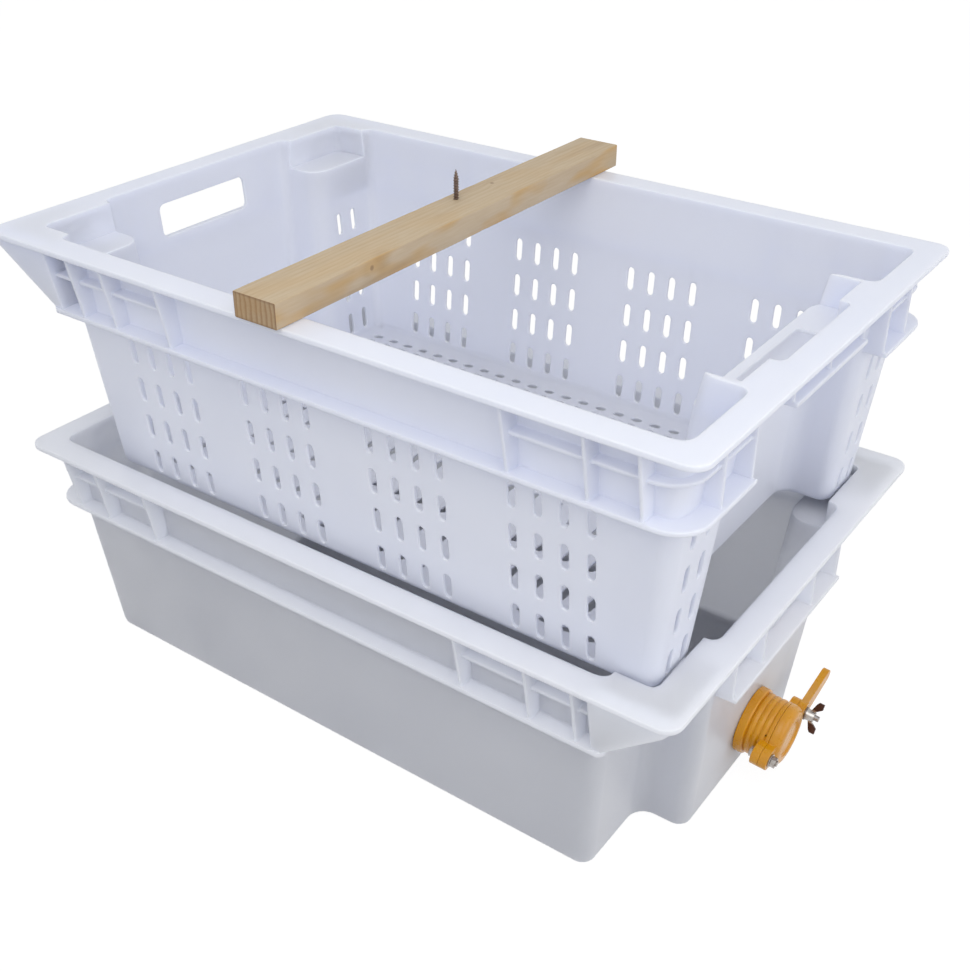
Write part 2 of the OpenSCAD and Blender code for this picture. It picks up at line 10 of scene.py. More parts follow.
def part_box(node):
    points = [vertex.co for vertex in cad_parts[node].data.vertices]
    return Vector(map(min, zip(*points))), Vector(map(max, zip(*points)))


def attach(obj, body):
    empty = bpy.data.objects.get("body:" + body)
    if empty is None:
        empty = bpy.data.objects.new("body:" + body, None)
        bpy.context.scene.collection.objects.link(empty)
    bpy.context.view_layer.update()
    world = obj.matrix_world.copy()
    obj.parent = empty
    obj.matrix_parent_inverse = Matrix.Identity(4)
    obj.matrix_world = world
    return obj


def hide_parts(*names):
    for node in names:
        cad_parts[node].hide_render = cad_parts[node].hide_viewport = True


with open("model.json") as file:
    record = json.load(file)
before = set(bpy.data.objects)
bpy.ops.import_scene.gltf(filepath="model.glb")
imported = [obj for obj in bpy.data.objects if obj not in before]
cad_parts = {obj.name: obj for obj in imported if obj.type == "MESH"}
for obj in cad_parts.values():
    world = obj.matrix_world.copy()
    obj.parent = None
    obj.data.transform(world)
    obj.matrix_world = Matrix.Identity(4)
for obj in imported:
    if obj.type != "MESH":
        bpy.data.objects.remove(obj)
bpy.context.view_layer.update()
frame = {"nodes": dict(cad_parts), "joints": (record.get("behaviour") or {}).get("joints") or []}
mm = 0.001
tiny = 1e-18  # keeps a division by a length safe
print("frame loaded, nodes:", len(frame["nodes"]))


# node trees

mixSockets = {"factor": 0, "first": 6, "second": 7, "result": 2}  # where a colour mix has them


def addNode(tree, kind, values=None, **settings):
    node = tree.nodes.new(kind)
    for name, value in settings.items():
        setattr(node, name, value)
    for name, value in (values or {}).items():
        node.inputs[name].default_value = value
    return node


# a socket takes a link from another node, or a fixed value
def feed(tree, socket, value):
    if isinstance(value, bpy.types.NodeSocket):
        tree.links.new(value, socket)
    else:
        socket.default_value = value


def mathOf(tree, kind, first, second=0.0):
    node = addNode(tree, "ShaderNodeMath", operation=kind)
    feed(tree, node.inputs[0], first)
    feed(tree, node.inputs[1], second)
    return node.outputs[0]


def vectorOf(tree, kind, first, second=(0, 0, 0), result="Vector"):
    node = addNode(tree, "ShaderNodeVectorMath", operation=kind)
    feed(tree, node.inputs[0], first)
    feed(tree, node.inputs[1], second)
    return node.outputs[result]


def newMaterial(name, values):
    material = bpy.data.materials.new(name)
    material.use_nodes = True
    shader = material.node_tree.nodes["Principled BSDF"]
    for socket, value in values.items():
        shader.inputs[socket].default_value = value
    return material, material.node_tree, shader


def ownPlace(tree):
    return addNode(tree, "ShaderNodeTexCoord").outputs["Object"]


def stretched(tree, vector, scale):
    node = addNode(tree, "ShaderNodeMapping", {"Scale": scale})
    tree.links.new(vector, node.inputs["Vector"])
    return node.outputs["Vector"]


def axesOf(tree, vector):
    node = addNode(tree, "ShaderNodeSeparateXYZ")
    tree.links.new(vector, node.inputs["Vector"])
    return node.outputs


def noiseField(tree, vector, scale, detail=2.0, roughness=0.5):
    field = addNode(tree, "ShaderNodeTexNoise", {"Scale": scale, "Detail": detail, "Roughness": roughness})
    tree.links.new(vector, field.inputs["Vector"])
    return field.outputs["Fac"]


def spread(tree, factor, low, high, start=0.3, end=0.7, curve="LINEAR"):
    limits = {"From Min": start, "From Max": end, "To Min": low, "To Max": high}
    node = addNode(tree, "ShaderNodeMapRange", limits, interpolation_type=curve)
    tree.links.new(factor, node.inputs["Value"])
    return node.outputs["Result"]


def mixColour(tree, factor, first, second, blend="MIX"):
    node = addNode(tree, "ShaderNodeMix", data_type="RGBA", blend_type=blend)
    feed(tree, node.inputs[mixSockets["factor"]], factor)
    feed(tree, node.inputs[mixSockets["first"]], first)
    feed(tree, node.inputs[mixSockets["second"]], second)
    return node.outputs[mixSockets["result"]]


def bumpFrom(tree, shader, height, strength, distance):
    bump = addNode(tree, "ShaderNodeBump", {"Strength": strength, "Distance": distance})
    tree.links.new(height, bump.inputs["Height"])
    tree.links.new(bump.outputs["Normal"], shader.inputs["Normal"])


# moulded plastic: a soft cloud in colour and gloss, and a fine skin
def mouldedPlastic(name, look):
    material, tree, shader = newMaterial(name, look["sockets"])
    place = ownPlace(tree)
    cloud = noiseField(tree, place, look["cloudScale"], look["cloudDetail"])
    tint = mixColour(tree, spread(tree, cloud, 0.0, 1.0), look["colour"], look["shade"])
    tree.links.new(tint, shader.inputs["Base Color"])
    glossScale = look["cloudScale"] * look["glossFiner"]
    gloss = spread(tree, noiseField(tree, place, glossScale, look["glossDetail"]), *look["roughness"])
    tree.links.new(gloss, shader.inputs["Roughness"])
    skin = noiseField(tree, place, look["skinScale"], look["skinDetail"])
    bumpFrom(tree, shader, skin, look["skin"], look["skinDepth"])
    return material


mouldedSkin = {"cloudDetail": 3.0, "glossFiner": 4, "glossDetail": 4.0, "skinDetail": 2.0,
               "skinDepth": 0.4 * mm}
tubLook = {
    **mouldedSkin,
    "colour": (0.845, 0.868, 0.945, 1), "shade": (0.822, 0.848, 0.932, 1),
    "cloudScale": 5.0, "roughness": (0.34, 0.46), "skinScale": 420.0, "skin": 0.05,
    "sockets": {"Specular IOR Level": 0.40, "Subsurface Weight": 0.92, "Subsurface Scale": 22 * mm,
                "Subsurface Radius": (1.0, 1.0, 1.0)},
}
basketLook = {
    **mouldedSkin,
    "colour": (0.800, 0.824, 0.940, 1), "shade": (0.772, 0.800, 0.926, 1),
    "cloudScale": 6.0, "roughness": (0.33, 0.44), "skinScale": 420.0, "skin": 0.05,
    "sockets": {"Specular IOR Level": 0.40, "Subsurface Weight": 0.90, "Subsurface Scale": 10 * mm,
                "Subsurface Radius": (1.0, 1.0, 1.0)},
}
gateLook = {
    **mouldedSkin,
    "colour": (0.680, 0.310, 0.004, 1), "shade": (0.600, 0.250, 0.003, 1),
    "cloudScale": 40.0, "roughness": (0.24, 0.36), "skinScale": 900.0, "skin": 0.06,
    "sockets": {"Specular IOR Level": 0.5, "Subsurface Weight": 0.12, "Subsurface Scale": 3 * mm,
                "Subsurface Radius": (1.0, 0.5, 0.1), "Coat Weight": 0.05, "Coat Roughness": 0.15},
}
nutLook = dict(gateLook, colour=(0.620, 0.275, 0.004, 1), shade=(0.550, 0.225, 0.003, 1))
rubberLook = {
    **mouldedSkin,
    "colour": (0.030, 0.030, 0.032, 1), "shade": (0.045, 0.044, 0.044, 1),
    "cloudScale": 60.0, "roughness": (0.55, 0.75), "skinScale": 1500.0, "skin": 0.2,
    "sockets": {"Specular IOR Level": 0.35},
}

wingTurn = next(joint for joint in frame["joints"] if joint["name"] == "wing_turn")


# how far a place belongs to the wing nut's wings, by its distance from the nut's axis: the mask for the
# painted dark reflection on the wings
def paintedWingReflectionShare(tree, place, wings):
    off = vectorOf(tree, "SUBTRACT", place, wingTurn["pos_m"])
    away = vectorOf(tree, "LENGTH", vectorOf(tree, "CROSS_PRODUCT", off, wingTurn["axis"]), result="Value")
    beyond = spread(tree, away, 0.0, 1.0, wings["start"], wings["full"])
    within = spread(tree, away, 1.0, 0.0, wings["end"], wings["end"] + wings["fade"])
    return mathOf(tree, "MULTIPLY", beyond, within)


# turned or stamped steel: fine wipe marks in gloss and a little tarnish
def wornSteel(name, look):
    material, tree, shader = newMaterial(name, look["sockets"])
    place = ownPlace(tree)
    stain = spread(tree, noiseField(tree, place, look["stainScale"], look["stainDetail"]), 0.0, 1.0)
    tint = mixColour(tree, stain, look["colour"], look["tarnish"])
    if "wings" in look:  # the wings get a painted dark brown that stands in for the dark surroundings they reflect: painted reflection, not a colour of the steel
        tint = mixColour(tree, paintedWingReflectionShare(tree, place, look["wings"]), tint, look["wings"]["colour"])
    tree.links.new(tint, shader.inputs["Base Color"])
    wipe = noiseField(tree, place, look["wipeScale"], look["wipeDetail"], look["wipeRoughness"])
    tree.links.new(spread(tree, wipe, *look["roughness"]), shader.inputs["Roughness"])
    bumpFrom(tree, shader, wipe, look["mark"], look["markDepth"])
    return material


steelSkin = {"stainDetail": 4.0, "wipeDetail": 3.0, "wipeRoughness": 0.7, "mark": 0.08, "markDepth": 0.1 * mm}
hardwareLook = {
    **steelSkin,
    "colour": (0.520, 0.500, 0.480, 1), "tarnish": (0.260, 0.215, 0.190, 1),
    "stainScale": 190.0, "wipeScale": 900.0, "roughness": (0.16, 0.32), "sockets": {"Metallic": 1.0},
    # painted reflection: the dark brown on the wings stands in for the dark surroundings that the steel wings
    # reflect
    "wings": {"start": 5.2 * mm, "full": 6.6 * mm, "end": 30 * mm, "fade": 1 * mm,
              "colour": (0.095, 0.052, 0.042, 1)},
}
screwLook = {
    **steelSkin,
    "colour": (0.230, 0.175, 0.150, 1), "tarnish": (0.120, 0.080, 0.062, 1),
    "stainScale": 120.0, "wipeScale": 900.0, "roughness": (0.20, 0.34), "sockets": {"Metallic": 1.0},
}


# the share of late wood, in layers that bend round the knots, and the knots' hearts
def growthLayers(tree, place, long, middle, look):
    axes = axesOf(tree, place)
    wander = mathOf(tree, "MULTIPLY", noiseField(tree, long, look["wanderScale"]), look["wander"])
    lean = mathOf(tree, "MULTIPLY", axes["Z"], look["lean"])
    depth = mathOf(tree, "ADD", mathOf(tree, "ADD", axes["X"], wander), lean)
    hearts = []
    for spot in look["knots"]:
        away = vectorOf(tree, "DISTANCE", place, middle + Vector(spot["at"]) * mm, "Value")
        bend = spread(tree, away, spot["bend"], 0.0, 0.0, spot["reach"], "SMOOTHSTEP")
        depth = mathOf(tree, "ADD", depth, bend)
        heart = spread(tree, away, 1.0, 0.0, spot["radius"] * look["heart"], spot["radius"])
        hearts.append(mathOf(tree, "MULTIPLY", heart, spot["dark"]))
    phase = mathOf(tree, "FRACT", mathOf(tree, "DIVIDE", depth, look["layer"]))
    ramp = addNode(tree, "ShaderNodeValToRGB")
    tree.links.new(phase, ramp.inputs["Fac"])
    stops = ramp.color_ramp.elements
    stops[1].color = stops[0].color  # a layer starts and ends pale
    for position, level in look["layerTone"]:
        stop = stops.new(position)
        stop.color = (level, level, level, 1)
    return ramp.outputs["Color"], hearts


# how far inside the bar's long edges a place lies
def insideEdges(tree, place, middle, half):
    axes = axesOf(tree, place)
    sideways = mathOf(tree, "ABSOLUTE", mathOf(tree, "SUBTRACT", axes["X"], middle.x))
    upward = mathOf(tree, "ABSOLUTE", mathOf(tree, "SUBTRACT", axes["Z"], middle.z))
    fromSide = mathOf(tree, "SUBTRACT", half.x, sideways)
    fromTop = mathOf(tree, "SUBTRACT", half.z, upward)
    return mathOf(tree, "MINIMUM", fromSide, fromTop)


def ownFacing(tree):
    node = addNode(tree, "ShaderNodeVectorTransform", vector_type="NORMAL", convert_from="WORLD",
                   convert_to="OBJECT")
    tree.links.new(addNode(tree, "ShaderNodeNewGeometry").outputs["Normal"], node.inputs["Vector"])
    return axesOf(tree, node.outputs["Vector"])


# pine: growth layers stand across the bar's width, pale early wood and darker late wood
def pineWood(name, look):
    material, tree, shader = newMaterial(name, look["sockets"])
    low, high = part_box("frame_bar")
    middle = (low + high) / 2
    half = (high - low) / 2
    place = ownPlace(tree)
    long = stretched(tree, place, look["stretch"])
    facing = ownFacing(tree)
    layers, hearts = growthLayers(tree, place, long, middle, look)

    endGrain = spread(tree, mathOf(tree, "ABSOLUTE", facing["Y"]), 0.0, 1.0, *look["endFacing"])
    figure = mathOf(tree, "ADD", look["figure"], mathOf(tree, "MULTIPLY", endGrain, look["endFigure"]))
    colour = mixColour(tree, mathOf(tree, "MULTIPLY", layers, figure), look["early"], look["late"])

    # amber patches, mostly on the side towards the gate
    patches = noiseField(tree, stretched(tree, place, look["patchStretch"]), look["patchScale"])
    patch = spread(tree, patches, 0.0, look["patch"], *look["patchBand"])
    gateSide = spread(tree, facing["X"], look["patchElsewhere"], 1.0, *look["gateFacing"])
    colour = mixColour(tree, mathOf(tree, "MULTIPLY", patch, gateSide), colour, look["amber"])

    streaks = noiseField(tree, long, look["streakScale"])
    streak = spread(tree, streaks, 0.0, look["streak"], *look["streakBand"])
    colour = mixColour(tree, streak, colour, look["late"])
    fibres = noiseField(tree, long, look["fibreScale"], look["fibreDetail"], look["fibreRoughness"])
    fibre = spread(tree, fibres, 0.0, look["fibre"], *look["fibreBand"])
    colour = mixColour(tree, fibre, colour, look["fibreTint"], "MULTIPLY")
    for heart in hearts:
        colour = mixColour(tree, heart, colour, look["knot"])

    # sawn ends are darker, most of all along their edges
    endTone = mathOf(tree, "MULTIPLY", endGrain, look["endTone"])
    colour = mixColour(tree, endTone, colour, look["endTint"], "MULTIPLY")
    rim = spread(tree, insideEdges(tree, place, middle, half), look["endRim"], 0.0, *look["endRimBand"])
    colour = mixColour(tree, mathOf(tree, "MULTIPLY", rim, endGrain), colour, look["knot"])

    tree.links.new(colour, shader.inputs["Base Color"])
    tree.links.new(spread(tree, fibre, *look["roughness"], 0.0, look["fibre"]), shader.inputs["Roughness"])
    height = mathOf(tree, "ADD", mathOf(tree, "MULTIPLY", layers, look["layerRidge"]), fibre)
    bumpFrom(tree, shader, height, look["grain"], look["grainDepth"])
    return material


pineLook = {
    "stretch": (1.0, 0.06, 1.0), "lean": 0.03, "layer": 4.6 * mm, "wanderScale": 24.0, "wander": 12 * mm,
    "layerTone": ((0.40, 0.08), (0.78, 1.0), (0.92, 0.75)), "layerRidge": 0.5,
    "early": (0.580, 0.465, 0.315, 1), "late": (0.430, 0.300, 0.175, 1), "figure": 0.22, "endFigure": 0.85,
    "amber": (0.560, 0.350, 0.135, 1), "patchStretch": (1.0, 0.30, 1.0), "patchScale": 42.0, "patch": 0.85,
    "patchBand": (0.47, 0.64), "patchElsewhere": 0.25, "gateFacing": (0.5, 0.8),
    "streakScale": 110.0, "streak": 0.40, "streakBand": (0.60, 0.70),
    "fibreScale": 520.0, "fibreDetail": 5.0, "fibreRoughness": 0.65, "fibre": 0.4, "fibreBand": (0.35, 0.75),
    "fibreTint": (0.82, 0.76, 0.68, 1), "grain": 0.25, "grainDepth": 0.3 * mm,
    "endFacing": (0.6, 0.9), "endTint": (0.74, 0.64, 0.54, 1), "endTone": 0.75,
    "endRim": 0.55, "endRimBand": (0.6 * mm, 2.2 * mm),
    "roughness": (0.55, 0.75), "sockets": {"Specular IOR Level": 0.3},
    "knot": (0.190, 0.110, 0.060, 1), "heart": 0.5,
    "knots": [  # places in mm from the bar's middle
        {"at": (-9.1, 67.8, 10.0), "reach": 18 * mm, "bend": 3 * mm, "radius": 2.2 * mm, "dark": 0.70},
        {"at": (20.0, -124.7, 3.0), "reach": 24 * mm, "bend": 4 * mm, "radius": 2.6 * mm, "dark": 0.55},
        {"at": (20.0, -112.0, 5.0), "reach": 30 * mm, "bend": 2 * mm, "radius": 12 * mm, "dark": 0.10},
    ],
}

finish = {
    "tub_plastic": mouldedPlastic("tubPlastic", tubLook),
    "basket_plastic": mouldedPlastic("basketPlastic", basketLook),
    "gate_plastic": mouldedPlastic("gatePlastic", gateLook),
    "nut_plastic": mouldedPlastic("nutPlastic", nutLook),
    "seal_rubber": mouldedPlastic("sealRubber", rubberLook),
    "hardware_steel": wornSteel("hardwareSteel", hardwareLook),
    "screw_steel": wornSteel("screwSteel", screwLook),
    "pine": pineWood("pine", pineLook),
}
print("finishes made:", len(finish))


# pieces

def placePiece(name, mesh, node, body, slot):
    piece = bpy.data.objects.new(name, mesh)
    bpy.context.scene.collection.objects.link(piece)
    mesh.materials.clear()
    mesh.materials.append(finish[slot])
    for face in mesh.polygons:
        face.use_smooth = True
    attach(piece, body)
    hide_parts(node)
    return piece


runsOn = 0.5  # two sides of a face run on as one while the cosine of their bend is over this


# free width beside each edge within its two faces
def edgeRoom(shape):
    room = {}
    for face in shape.faces:
        loops = list(face.loops)
        count = len(loops)
        row = numpy.arange(count)
        starts = numpy.array([loop.vert.co[:] for loop in loops])
        along = numpy.roll(starts, -1, axis=0) - starts
        square = numpy.maximum((along ** 2).sum(1), tiny)
        gap = starts[:, None, :] - starts[None, :, :]
        share = numpy.clip((gap * along[None]).sum(2) / square[None], 0, 1)
        away = numpy.sqrt(((gap - share[..., None] * along[None]) ** 2).sum(2))  # point by line
        heading = along / numpy.sqrt(square)[:, None]
        smooth = row[(heading * numpy.roll(heading, -1, axis=0)).sum(1) > runsOn]
        away[row, row] = away[(row + 1) % count, row] = numpy.inf
        away[(smooth + 2) % count, smooth] = away[smooth, (smooth + 1) % count] = numpy.inf
        fromEnds = away.min(1)
        free = numpy.minimum(away.min(0), numpy.minimum(fromEnds, numpy.roll(fromEnds, -1)))
        for loop, width in zip(loops, free):
            room[loop.edge.index] = min(width, room.get(loop.edge.index, numpy.inf))
    return room


foldTest = {"area": 0.01 * mm ** 2, "turn": 0.5, "parallel": 1e-16, "fewPoints": 12}


# places where the outline of a softened face crosses itself
def foldedSpots(piece):
    shown = piece.evaluated_get(bpy.context.evaluated_depsgraph_get()).to_mesh()
    shown.calc_loop_triangles()
    folded = set()
    for triangle in shown.loop_triangles:
        faceNormal = shown.polygons[triangle.polygon_index].normal
        if triangle.area > foldTest["area"] and triangle.normal.dot(faceNormal) < foldTest["turn"]:
            folded.add(triangle.polygon_index)
    spots = []
    for index in folded:
        points = [shown.vertices[i].co.copy() for i in shown.polygons[index].vertices]
        count = len(points)
        row = numpy.arange(count)
        after = (row + 1) % count
        normal = shown.polygons[index].normal.copy()
        side = normal.orthogonal().normalized()
        up = normal.cross(side)
        flat = numpy.array([(point.dot(side), point.dot(up)) for point in points])
        step = flat[after] - flat
        gap = flat[None, :, :] - flat[:, None, :]
        turn = step[:, None, 0] * step[None, :, 1] - step[:, None, 1] * step[None, :, 0]
        turn[numpy.abs(turn) < foldTest["parallel"]] = numpy.inf
        first = (gap[..., 0] * step[None, :, 1] - gap[..., 1] * step[None, :, 0]) / turn
        second = (gap[..., 0] * step[:, None, 1] - gap[..., 1] * step[:, None, 0]) / turn
        hit = (first > 0) & (first < 1) & (second > 0) & (second < 1)
        hit[row, row] = hit[row, after] = hit[after, row] = False
        pairs = zip(*numpy.nonzero(hit))
        crossed = [points[i].lerp(points[after[i]], float(first[i, j])) for i, j in pairs]
        spots += crossed or (points if count < foldTest["fewPoints"] else [])
    return numpy.array([spot[:] for spot in spots])


brimTest = {"level": 0.1 * mm, "upright": 0.5}


# the inner edge of a crate's rim, which rolls over into the wall
def onBrim(edge, middle, top):
    if any(abs(vert.co.z - top) > brimTest["level"] for vert in edge.verts):
        return False
    inward = middle - (edge.verts[0].co + edge.verts[1].co) / 2
    inward.z = 0
    walls = [face for face in edge.link_faces if abs(face.normal.z) < brimTest["upright"]]
    return any(face.normal.dot(inward) > 0 for face in walls)


# an edge too tight to round is rounded less, and in the end stays sharp
def easeFolds(piece, soft, widest):
    mesh = piece.data
    for attempt in range(soft["attempts"]):
        bpy.context.view_layer.update()
        spots = foldedSpots(piece)
        if not len(spots):
            break
        kept = soft["halving"] if attempt < soft["halvings"] else 0.0
        weights = mesh.attributes["bevel_weight_edge"].data
        for edge in mesh.edges:
            weight = weights[edge.index]
            if weight.value > 0:
                start, end = (numpy.array(mesh.vertices[i].co[:]) for i in edge.vertices)
                along = end - start
                place = numpy.clip((spots - start) @ along / max(along @ along, tiny), 0, 1)
                near = max(soft["reach"], soft["ownReach"] * weight.value * widest)
                if ((spots - start - place[:, None] * along) ** 2).sum(1).min() < near ** 2:
                    weight.value *= kept
        mesh.update()
        piece.update_tag()
    return attempt, len(spots)


def softCopy(node, body, slot, soft):
    mesh = frame["nodes"][node].data.copy()
    shape = bmesh.new()
    shape.from_mesh(mesh)
    bmesh.ops.remove_doubles(shape, verts=shape.verts, dist=soft["merge"])
    flat = math.radians(soft["flat"])
    bmesh.ops.dissolve_limit(shape, angle_limit=flat, verts=shape.verts, edges=shape.edges)
    shape.normal_update()
    shape.edges.index_update()
    room = edgeRoom(shape)
    weight = shape.edges.layers.float.new("bevel_weight_edge")
    bend = math.radians(soft["angle"])
    corners = [edge.index for edge in shape.edges if edge.calc_face_angle(0.0) > bend]
    shape.edges.ensure_lookup_table()
    widest = max(soft["edge"], soft["brim"])
    low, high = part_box(node)
    middle = (low + high) / 2
    for index in corners:
        edge = shape.edges[index]
        wanted = soft["brim"] if onBrim(edge, middle, high.z) else soft["edge"]
        edge[weight] = min(wanted, soft["share"] * room[index]) / widest
    shape.to_mesh(mesh)
    shape.free()
    if mesh.attributes.get("custom_normal"):
        mesh.attributes.remove(mesh.attributes["custom_normal"])
    piece = placePiece(node + "_soft", mesh, node, body, slot)
    rounding = piece.modifiers.new("soft edges", "BEVEL")
    rounding.width = widest
    rounding.segments = soft["steps"]
    rounding.limit_method = "WEIGHT"
    rounding.use_clamp_overlap = False
    rounding.harden_normals = True
    rounds, leftFolded = easeFolds(piece, soft, widest)
    weights = mesh.attributes["bevel_weight_edge"].data
    for index in corners:
        mesh.edges[index].use_edge_sharp = weights[index].value * widest < soft["sharpBelow"] * soft["edge"]
    print("softened", node, "faces", len(mesh.polygons), "rounds", rounds, "left folded", leftFolded)


crateSoft = {"merge": 0.05 * mm, "flat": 0.5, "edge": 1.2 * mm, "brim": 5.0 * mm, "steps": 2, "angle": 38.0,
             "share": 0.42, "reach": 1.2 * mm, "ownReach": 1.2, "halving": 0.5, "halvings": 3, "attempts": 16,
             "sharpBelow": 0.02}
fittingSoft = dict(crateSoft, merge=0.02 * mm, edge=0.5 * mm, brim=0.5 * mm, reach=1.5 * mm)
smallSoft = dict(fittingSoft, edge=0.3 * mm, brim=0.3 * mm, reach=0.4 * mm)

softCopy("tub", "tank", "tub_plastic", crateSoft)
softCopy("basket", "basket", "basket_plastic", crateSoft)
softCopy("gate_body", "tank", "gate_plastic", fittingSoft)
softCopy("gate_flap", "flap", "gate_plastic", fittingSoft)
softCopy("lock_nut", "tank", "nut_plastic", fittingSoft)
softCopy("gate_gasket", "tank", "seal_rubber", smallSoft)
softCopy("flap_seal", "flap", "seal_rubber", smallSoft)
softCopy("pivot_bolt", "tank", "hardware_steel", smallSoft)
softCopy("pivot_washer", "tank", "hardware_steel", smallSoft)
softCopy("pivot_nut", "tank", "hardware_steel", smallSoft)
softCopy("clamp_bolt", "tank", "hardware_steel", smallSoft)
softCopy("clamp_washer", "washer", "hardware_steel", smallSoft)
softCopy("wing_nut", "wing", "hardware_steel", smallSoft)


def joinRings(shape, near, far):
    for i in range(len(near)):
        j = (i + 1) % len(near)
        shape.faces.new((near[i], near[j], far[j], far[i]))


def closedMesh(shape, name):
    bmesh.ops.recalc_face_normals(shape, faces=shape.faces)
    mesh = bpy.data.meshes.new(name)
    shape.to_mesh(mesh)
    shape.free()
    return mesh


# the sawn bar: eased edges that wander a little, closed by flat sawn ends
def sawnBar(node, cut):
    low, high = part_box(node)
    low.z += cut["seat"]
    middle = (low + high) / 2
    half = (high - low) / 2
    outline = []
    for cornerX, cornerZ, start in ((1, -1, -90), (1, 1, 0), (-1, 1, 90), (-1, -1, 180)):
        for step in range(cut["cornerSteps"] + 1):
            angle = math.radians(start + 90 * step / cut["cornerSteps"])
            outline.append((cornerX, cornerZ, math.cos(angle), math.sin(angle)))
    rows = cut["rows"]
    shape = bmesh.new()
    rings = []
    for row in range(rows + 1):
        y = -half.y + 2 * half.y * row / rows
        ring = []
        for cornerX, cornerZ, dx, dz in outline:
            seed = Vector((cornerX, y, cornerZ)) * Vector(cut["wanderPitch"])
            ease = cut["edge"] * (1 + cut["wander"] * noise.noise(seed))
            nick = max(0.0, noise.noise(seed * cut["nickPitch"]) - cut["nickAbove"]) * cut["nick"]
            radius = ease + nick
            x = cornerX * (half.x - radius) + dx * radius
            z = cornerZ * (half.z - radius) + dz * radius
            ring.append(shape.verts.new(middle + Vector((x, y, z))))
        rings.append(ring)
    for near, far in zip(rings, rings[1:]):
        joinRings(shape, near, far)
    shape.faces.new(rings[0])
    shape.faces.new(rings[-1][::-1])
    return closedMesh(shape, node)


barCut = {"seat": 0.05 * mm, "edge": 1.1 * mm, "wander": 0.5, "wanderPitch": (7, 18, 5), "nick": 1.6 * mm,
          "nickPitch": 4.3, "nickAbove": 0.35, "rows": 150, "cornerSteps": 4,
          "endEase": 0.7 * mm, "endSteps": 2, "endAngle": 60.0}
barPiece = placePiece("pine_bar", sawnBar("frame_bar", barCut), "frame_bar", "bar", "pine")
ends = barPiece.modifiers.new("sawn ends", "BEVEL")
ends.width = barCut["endEase"]
ends.segments = barCut["endSteps"]
ends.limit_method = "ANGLE"
ends.angle_limit = math.radians(barCut["endAngle"])
ends.harden_normals = True
print("bar sawn")


# the screw: a spiral ridge on a core that runs out to a point, countersunk head below
def woodScrew(node, cut):
    low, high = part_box(node)
    axis = (low + high) / 2
    length = high.z - low.z
    radius, core, pitch, sides = cut["radius"], cut["core"], cut["pitch"], cut["sides"]
    headFace = cut["head"] * cut["faceShare"]
    threadStart = cut["shankEnd"]
    shape = bmesh.new()

    def addRing(radiusAt, heightAt):
        ring = []
        for i in range(sides):
            turn = i / sides
            angle = 2 * math.pi * turn
            x = axis.x + radiusAt(turn) * math.cos(angle)
            y = axis.y + radiusAt(turn) * math.sin(angle)
            ring.append(shape.verts.new((x, y, low.z + heightAt(turn))))
        return ring

    def plainRing(height, r):
        return addRing(lambda turn: r, lambda turn: height)

    def ridgeRing(height):
        taper = min(1.0, max(0.0, (length - height) / cut["point"]))
        rise = min(1.0, (height - threadStart) / pitch)
        inner = core * taper ** cut["coreTaper"] + cut["tip"]
        ridge = (radius - core) * rise * min(1.0, taper * cut["ridgeTaper"])

        def radiusAt(turn):
            phase = (height / pitch - turn) % 1.0
            return inner + ridge * max(0.0, 1 - abs(phase - 0.5) / cut["flank"])

        return addRing(radiusAt, lambda turn: height)

    def recessRing(share, sink):
        def heightAt(turn):
            inArm = abs(math.sin(4 * math.pi * turn)) < cut["armWidth"]
            return cut["recess"] * sink * (1.0 if inArm else cut["webDepth"])

        return addRing(lambda turn: headFace * share, heightAt)

    faceEdge, sideEdge = cut["headEdge"]
    z = threadStart + cut["runIn"]
    rings = [plainRing(0.0, headFace), plainRing(faceEdge, cut["head"]), plainRing(sideEdge, cut["head"]),
             plainRing(cut["headDepth"], radius), plainRing(threadStart, radius), plainRing(z, core)]
    while z < length - cut["blunt"]:
        z += pitch / cut["rowsPerTurn"]
        rings.append(ridgeRing(z))
    for near, far in zip(rings, rings[1:]):
        joinRings(shape, near, far)
    tip = shape.verts.new((axis.x, axis.y, high.z))
    for i in range(sides):
        shape.faces.new((rings[-1][i], rings[-1][(i + 1) % sides], tip))

    outer = rings[0]  # the cross recess goes inward from the head's face
    for share, sink in cut["recessRows"]:
        ring = recessRing(share, sink)
        joinRings(shape, ring, outer)
        outer = ring
    centre = shape.verts.new((axis.x, axis.y, low.z + cut["recess"]))
    for i in range(sides):
        shape.faces.new((outer[(i + 1) % sides], outer[i], centre))
    return closedMesh(shape, node)


screwCut = {"radius": 2.5 * mm, "core": 1.65 * mm, "pitch": 2.2 * mm, "sides": 48, "rowsPerTurn": 12,
            "flank": 0.30, "shankEnd": 12 * mm, "runIn": 0.4 * mm, "point": 8 * mm, "blunt": 0.3 * mm,
            "tip": 0.02 * mm, "coreTaper": 0.8, "ridgeTaper": 1.5,
            "head": 4.7 * mm, "headDepth": 2.5 * mm, "headEdge": (0.15 * mm, 0.45 * mm), "faceShare": 0.94,
            "recess": 1.4 * mm, "recessRows": ((0.72, 0.0), (0.62, 0.5), (0.30, 0.9)), "armWidth": 0.55,
            "webDepth": 0.15}
placePiece("point_screw_thread", woodScrew("point_screw", screwCut), "point_screw", "bar", "screw_steel")
print("screw turned")


# studio

# the camera and mirrors see one surface, and the light on the object comes from another
def splitByRay(tree, lighting, seen, output):
    path = addNode(tree, "ShaderNodeLightPath").outputs
    direct = mathOf(tree, "MAXIMUM", path["Is Camera Ray"], path["Is Glossy Ray"])
    choose = addNode(tree, "ShaderNodeMixShader")
    tree.links.new(mathOf(tree, "MAXIMUM", direct, path["Is Transmission Ray"]), choose.inputs[0])
    tree.links.new(lighting.outputs[0], choose.inputs[1])
    tree.links.new(seen.outputs[0], choose.inputs[2])
    tree.links.new(choose.outputs[0], tree.nodes[output].inputs["Surface"])


